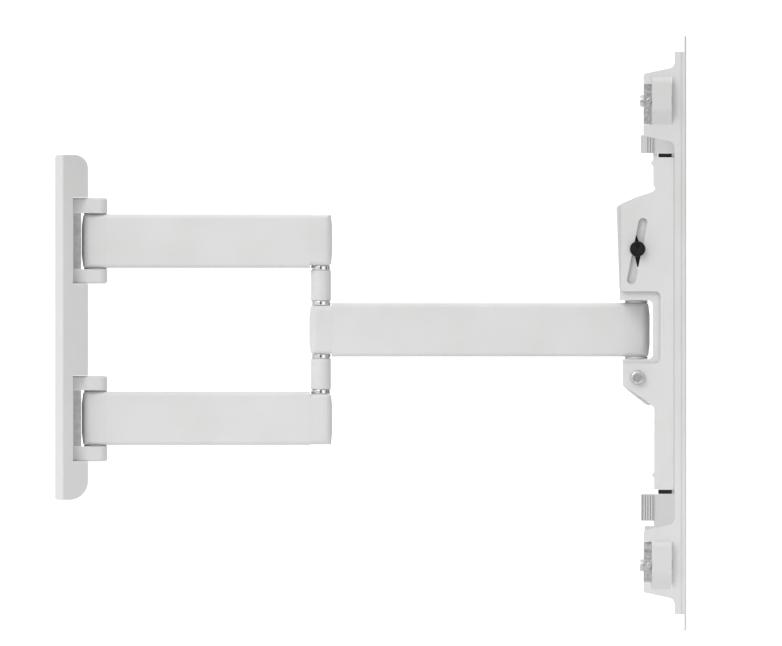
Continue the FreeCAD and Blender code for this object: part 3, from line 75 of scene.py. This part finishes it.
class Surface(Tree):
    """A material under construction: a Principled shader and the nodes that feed it."""

    def __init__(self, name):
        self.material = bpy.data.materials.new(name)
        self.material.use_nodes = True
        super().__init__(self.material.node_tree)
        self.shader = self.tree.nodes["Principled BSDF"]
        self.place = self.node("ShaderNodeTexCoord").outputs["Object"]

    def stretched(self, scale):
        """The object's place, scaled along each axis, for grain that runs one way."""
        mapping = self.node("ShaderNodeMapping")
        mapping.inputs["Scale"].default_value = scale
        self.link(self.place, mapping.inputs["Vector"])
        return mapping.outputs["Vector"]

    def noise(self, scale, detail=3.0, place=None):
        """A noise value from 0 to 1, with about scale features in a metre."""
        texture = self.node("ShaderNodeTexNoise", scale=scale, detail=detail)
        self.link(place or self.place, texture.inputs["Vector"])
        return texture.outputs["Fac"]

    def pits(self, scale):
        """Round cells, with about scale of them in a metre."""
        texture = self.node("ShaderNodeTexVoronoi", scale=scale)
        self.link(self.place, texture.inputs["Vector"])
        return texture.outputs["Distance"]

    def tint(self, value, stops):
        """Turn a value into a colour by a ramp of (place, grey or colour)."""
        ramp = self.node("ShaderNodeValToRGB")
        while len(ramp.color_ramp.elements) < len(stops):
            ramp.color_ramp.elements.new(0.5)
        for element, (spot, colour) in zip(ramp.color_ramp.elements, stops):
            element.position = spot
            element.color = (*colour, 1.0)
        self.link(value, ramp.inputs["Fac"])
        return ramp.outputs["Color"]

    def bump(self, value, depth, strength=1.0, below=None):
        """Raise the surface by a value times a depth in metres, over an earlier bump."""
        made = self.node("ShaderNodeBump", strength=strength, distance=depth)
        self.link(value, made.inputs["Height"])
        if below is not None:
            self.link(below, made.inputs["Normal"])
        return made.outputs["Normal"]

    def feed(self, **sources):
        """Link outputs to the shader's sockets, named with underscores."""
        for name, source in sources.items():
            self.link(source, self.shader.inputs[socket_name(name)])

    def fix(self, **numbers):
        """Set constants on the shader's own sockets."""
        for name, number in numbers.items():
            self.shader.inputs[socket_name(name)].default_value = number


def grey(level, warmth=0.0):
    """A near-neutral linear colour; warmth moves it towards yellow, or towards blue when negative."""
    return (level * (1 + warmth), level, level * (1 - 1.6 * warmth))


# Materials


def powder_coat(name, level, texture_depth, gloss):
    """Satin white powder coat: orange peel, faint mottling, specks of dust and uneven gloss."""
    coat = Surface(name)
    tones = [(0.3, grey(level * 0.965, 0.004)), (0.52, grey(level, 0.002)), (0.72, grey(level * 1.02))]
    coat.feed(
        base_color=coat.tint(coat.noise(26, detail=4), tones),
        roughness=coat.spread(coat.noise(70, detail=5), gloss, gloss + 0.12),
        normal=coat.bump(
            coat.noise(1500, detail=2),
            texture_depth,
            below=coat.bump(coat.noise(420, detail=2), texture_depth * 1.5, 0.8),
        ),
    )
    coat.fix(specular_ior_level=0.45, coat_weight=0.12, coat_roughness=0.25)
    return coat.material


def moulded_plastic(name, level):
    """White plastic with a fine spark-eroded grain and slight flow marks."""
    plastic = Surface(name)
    flow = plastic.noise(9, detail=3, place=plastic.stretched((1.0, 1.0, 0.35)))
    tones = [(0.3, grey(level * 0.97, 0.006)), (0.55, grey(level, 0.003)), (0.75, grey(level * 1.015))]
    plastic.feed(
        base_color=plastic.tint(flow, tones),
        roughness=plastic.spread(plastic.noise(160, detail=4), 0.46, 0.6),
        normal=plastic.bump(
            plastic.pits(2200), 0.00005, 0.7, below=plastic.bump(plastic.noise(700, detail=3), 0.00006, 0.7)
        ),
    )
    plastic.fix(specular_ior_level=0.42, subsurface_weight=0.03, subsurface_scale=0.001)
    return plastic.material


def polished_chrome():
    """Bright plated rings with hairline polishing marks and a trace of haze."""
    chrome = Surface("polished_chrome")
    hairs = chrome.noise(1.0, detail=2, place=chrome.stretched((90.0, 90.0, 6000.0)))
    chrome.feed(
        base_color=chrome.tint(chrome.noise(60), [(0.3, grey(0.72, -0.01)), (0.7, grey(0.82, -0.01))]),
        roughness=chrome.spread(chrome.noise(220, detail=4), 0.05, 0.13),
        normal=chrome.bump(hairs, 0.000012, 0.35),
    )
    chrome.fix(metallic=1.0)
    return chrome.material


def zinc_plate():
    """Bright zinc on turned steel: crystalline patches, a fine tooled grain and duller spots."""
    zinc = Surface("zinc_steel")
    patches = zinc.noise(380, detail=4)
    tones = [(0.28, grey(0.56, -0.02)), (0.5, grey(0.68, -0.012)), (0.75, (0.76, 0.745, 0.69))]
    zinc.feed(
        base_color=zinc.tint(patches, tones),
        roughness=zinc.spread(patches, 0.3, 0.5),
        normal=zinc.bump(zinc.noise(2600, detail=3), 0.00003, 0.5),
    )
    zinc.fix(metallic=1.0)
    return zinc.material


def black_oxide():
    """Oiled black oxide on steel: near black, with faint brown patches and a soft sheen."""
    oxide = Surface("black_steel")
    patches = oxide.noise(420, detail=4)
    tones = [(0.3, grey(0.012, -0.02)), (0.6, grey(0.03)), (0.8, (0.06, 0.045, 0.034))]
    oxide.feed(
        base_color=oxide.tint(patches, tones),
        roughness=oxide.spread(patches, 0.24, 0.4),
        normal=oxide.bump(oxide.noise(1800, detail=3), 0.00003, 0.5),
    )
    oxide.fix(metallic=0.6, coat_weight=0.2, coat_roughness=0.18)
    return oxide.material


def dull_nylon(name, level):
    """Nylon washers, bushes and pads with a dull, slightly streaked face."""
    nylon = Surface(name)
    tones = [(0.3, grey(level * 0.85)), (0.7, grey(level * 1.1, -0.01))]
    nylon.feed(
        base_color=nylon.tint(nylon.noise(300, detail=4), tones),
        roughness=nylon.spread(nylon.noise(500), 0.5, 0.68),
        normal=nylon.bump(nylon.noise(1400, detail=3), 0.00005, 0.6),
    )
    return nylon.material


WHITE_LEVEL = 0.73
# The saddles' pale grey is darker than the white steel. This darker tone is partly painted shade, standing
# in for the shade beneath the bracket ears.
PALE_GREY_LEVEL = 0.62
PALE_GREY_PLASTIC_LEVEL = 0.69
# The grey of the nylon pads on the clevis webs is partly painted shade: it stands in for the shaded recess
# between the arm's wall end and the clevis.
GREY_NYLON_LEVEL = 0.5
BLACK_NYLON_LEVEL = 0.025
CASTING_SHARE = 0.985
WHITE_PLASTIC_SHARE = 1.06
COAT_TEXTURE = 0.00004
CASTING_TEXTURE = 0.00007
materials = {
    "white_steel": powder_coat("white_steel", WHITE_LEVEL, COAT_TEXTURE, 0.36),
    "pale_grey_steel": powder_coat("pale_grey_steel", PALE_GREY_LEVEL, COAT_TEXTURE, 0.4),
    "white_casting": powder_coat("white_casting", WHITE_LEVEL * CASTING_SHARE, CASTING_TEXTURE, 0.42),
    "white_plastic": moulded_plastic("white_plastic", WHITE_LEVEL * WHITE_PLASTIC_SHARE),
    "pale_grey_plastic": moulded_plastic("pale_grey_plastic", PALE_GREY_PLASTIC_LEVEL),
    "polished_chrome": polished_chrome(),
    "zinc_steel": zinc_plate(),
    "black_steel": black_oxide(),
    "grey_nylon": dull_nylon("grey_nylon", GREY_NYLON_LEVEL),
    "black_nylon": dull_nylon("black_nylon", BLACK_NYLON_LEVEL),
}


# Finishing the CAD pieces: their own material, and rolled edges where the real piece has them

EDGE_WIDTH = {
    "white_steel": 0.35 * MM,
    "pale_grey_steel": 0.3 * MM,
    "white_casting": 0.5 * MM,
    "white_plastic": 0.4 * MM,
    "pale_grey_plastic": 0.4 * MM,
    "zinc_steel": 0.2 * MM,
    "black_steel": 0.2 * MM,
}
FINE_EDGE = 0.12 * MM
EDGE_ANGLE = math.radians(32)
WELD_GAP = 0.002 * MM
FINE_EDGED = ("arm_tube", "wall_end", "elbow_end", "head_end", "bracket_left", "bracket_right")


def roll_edges(node, width):
    """Round a piece's sharp edges with modifiers, which leave its mesh as it is."""
    weld = node.modifiers.new("Weld", "WELD")
    weld.merge_threshold = WELD_GAP
    edge = node.modifiers.new("Edges", "BEVEL")
    edge.width = width
    edge.segments = 2
    edge.limit_method = "ANGLE"
    edge.angle_limit = EDGE_ANGLE
    edge.use_clamp_overlap = True
    edge.miter_outer = "MITER_ARC"
    shade = node.modifiers.new("Shading", "WEIGHTED_NORMAL")
    shade.keep_sharp = False


def finish_nodes():
    """Give every CAD node its material and its rolled edges."""
    for name, node in frame["nodes"].items():
        slot = SLOT_OF[name]
        node.data.materials.clear()
        node.data.materials.append(materials[slot])
        if name.endswith(FINE_EDGED):
            roll_edges(node, FINE_EDGE)
        elif slot in EDGE_WIDTH:
            roll_edges(node, EDGE_WIDTH[slot])


# Stage, light and camera

# The tent's strengths, and the spans of the direction's parts over which one gives way to the next
TENT_WHITE = 0.72
BACK_WHITE = 1.25
BACK_SPAN = (0.55, 0.9)
LEFT_SHARE = 0.25
TOP_SHARE = 0.42
RIGHT_DARK = 0.2
RIGHT_SPAN = (0.85, 0.95)
LENS_DARK = 0.05
LENS_SPAN = (0.1, 0.17)
LENS_DEEP_SPAN = (-0.9, -0.7)

KEY_LIGHT = {"spot": (-1.4, -2.6, 2.2), "size": 1.8, "power": 40}
FILL_LIGHT = {"spot": (1.8, -2.4, -0.2), "size": 1.6, "power": 5}

FLOOR_MIDDLE = (0.25, 0.0, -0.30)
FLOOR_RADIUS = 0.9
FLOOR_SEGMENTS = 96

VIEW_MIDDLE = Vector((0.2503, 0.0, 0.0050))
VIEW_WIDTH = 0.5826
VIEW_DISTANCE = 2.0


def add_floor():
    """A plain pale disc of floor, well under the mount and clear of the main view."""
    mesh = bpy.data.meshes.new("floor")
    shape = bmesh.new()
    bmesh.ops.create_circle(shape, cap_ends=True, segments=FLOOR_SEGMENTS, radius=FLOOR_RADIUS)
    shape.to_mesh(mesh)
    shape.free()
    floor = bpy.data.objects.new("floor", mesh)
    floor.location = FLOOR_MIDDLE
    bpy.context.scene.collection.objects.link(floor)
    paint = Surface("floor_paint")
    paint.feed(
        base_color=paint.tint(paint.noise(3), [(0.3, grey(0.82)), (0.7, grey(0.86))]),
        roughness=paint.spread(paint.noise(20), 0.7, 0.85),
    )
    mesh.materials.append(paint.material)


def add_light(name, spot, size, power):
    """A soft square light at a spot, aimed at the middle of the mount."""
    lamp = bpy.data.lights.new(name, "AREA")
    lamp.shape = "SQUARE"
    lamp.size = size
    lamp.energy = power
    light = bpy.data.objects.new(name, lamp)
    light.location = spot
    light.rotation_mode = "QUATERNION"
    light.rotation_quaternion = (VIEW_MIDDLE - Vector(spot)).to_track_quat("-Z", "Y")
    bpy.context.scene.collection.objects.link(light)


def add_camera():
    """A level camera without perspective, square to the mount, so that near and far sides line up."""
    lens = bpy.data.cameras.new("camera")
    lens.type = "ORTHO"
    lens.ortho_scale = VIEW_WIDTH
    camera = bpy.data.objects.new("camera", lens)
    camera.location = VIEW_MIDDLE - Vector((0, VIEW_DISTANCE, 0))
    camera.rotation_mode = "QUATERNION"
    camera.rotation_quaternion = Vector((0, 1, 0)).to_track_quat("-Z", "Y")
    bpy.context.scene.collection.objects.link(camera)
    bpy.context.scene.camera = camera


def light_tent():
    """White behind the mount, and a softer tent about it with a slot for the lens and a dark right side."""
    world = bpy.data.worlds.new("studio")
    world.use_nodes = True
    tent = Tree(world.node_tree)
    way = tent.node("ShaderNodeSeparateXYZ")
    tent.link(tent.node("ShaderNodeTexCoord").outputs["Generated"], way.inputs["Vector"])
    across, deep, up = (way.outputs[name] for name in "XYZ")
    aside = tent.node("ShaderNodeMath", operation="ABSOLUTE")
    tent.link(across, aside.inputs[0])
    strength = tent.spread(deep, TENT_WHITE, BACK_WHITE, *BACK_SPAN)
    beside_lens = tent.spread(aside.outputs["Value"], LENS_DARK, 1, *LENS_SPAN)
    slot = tent.work("MAXIMUM", beside_lens, tent.spread(deep, 0, 1, *LENS_DEEP_SPAN))
    for share in (
        tent.spread(across, 1 + LEFT_SHARE, 1 - LEFT_SHARE, -1, 1),
        tent.spread(up, 1 - TOP_SHARE, 1 + TOP_SHARE, -1, 1),
        tent.spread(across, 1, RIGHT_DARK, *RIGHT_SPAN),
        slot,
    ):
        strength = tent.work("MULTIPLY", strength, share)
    background = world.node_tree.nodes["Background"]
    background.inputs["Color"].default_value = (1.0, 1.0, 1.0, 1.0)
    tent.link(strength, background.inputs["Strength"])
    bpy.context.scene.world = world


def light_the_room():
    """The tent, a key light from the upper left and a weak fill."""
    light_tent()
    bpy.context.scene.view_settings.view_transform = "Standard"
    add_light("key", **KEY_LIGHT)
    add_light("fill", **FILL_LIGHT)


finish_nodes()
add_floor()
light_the_room()
add_camera()
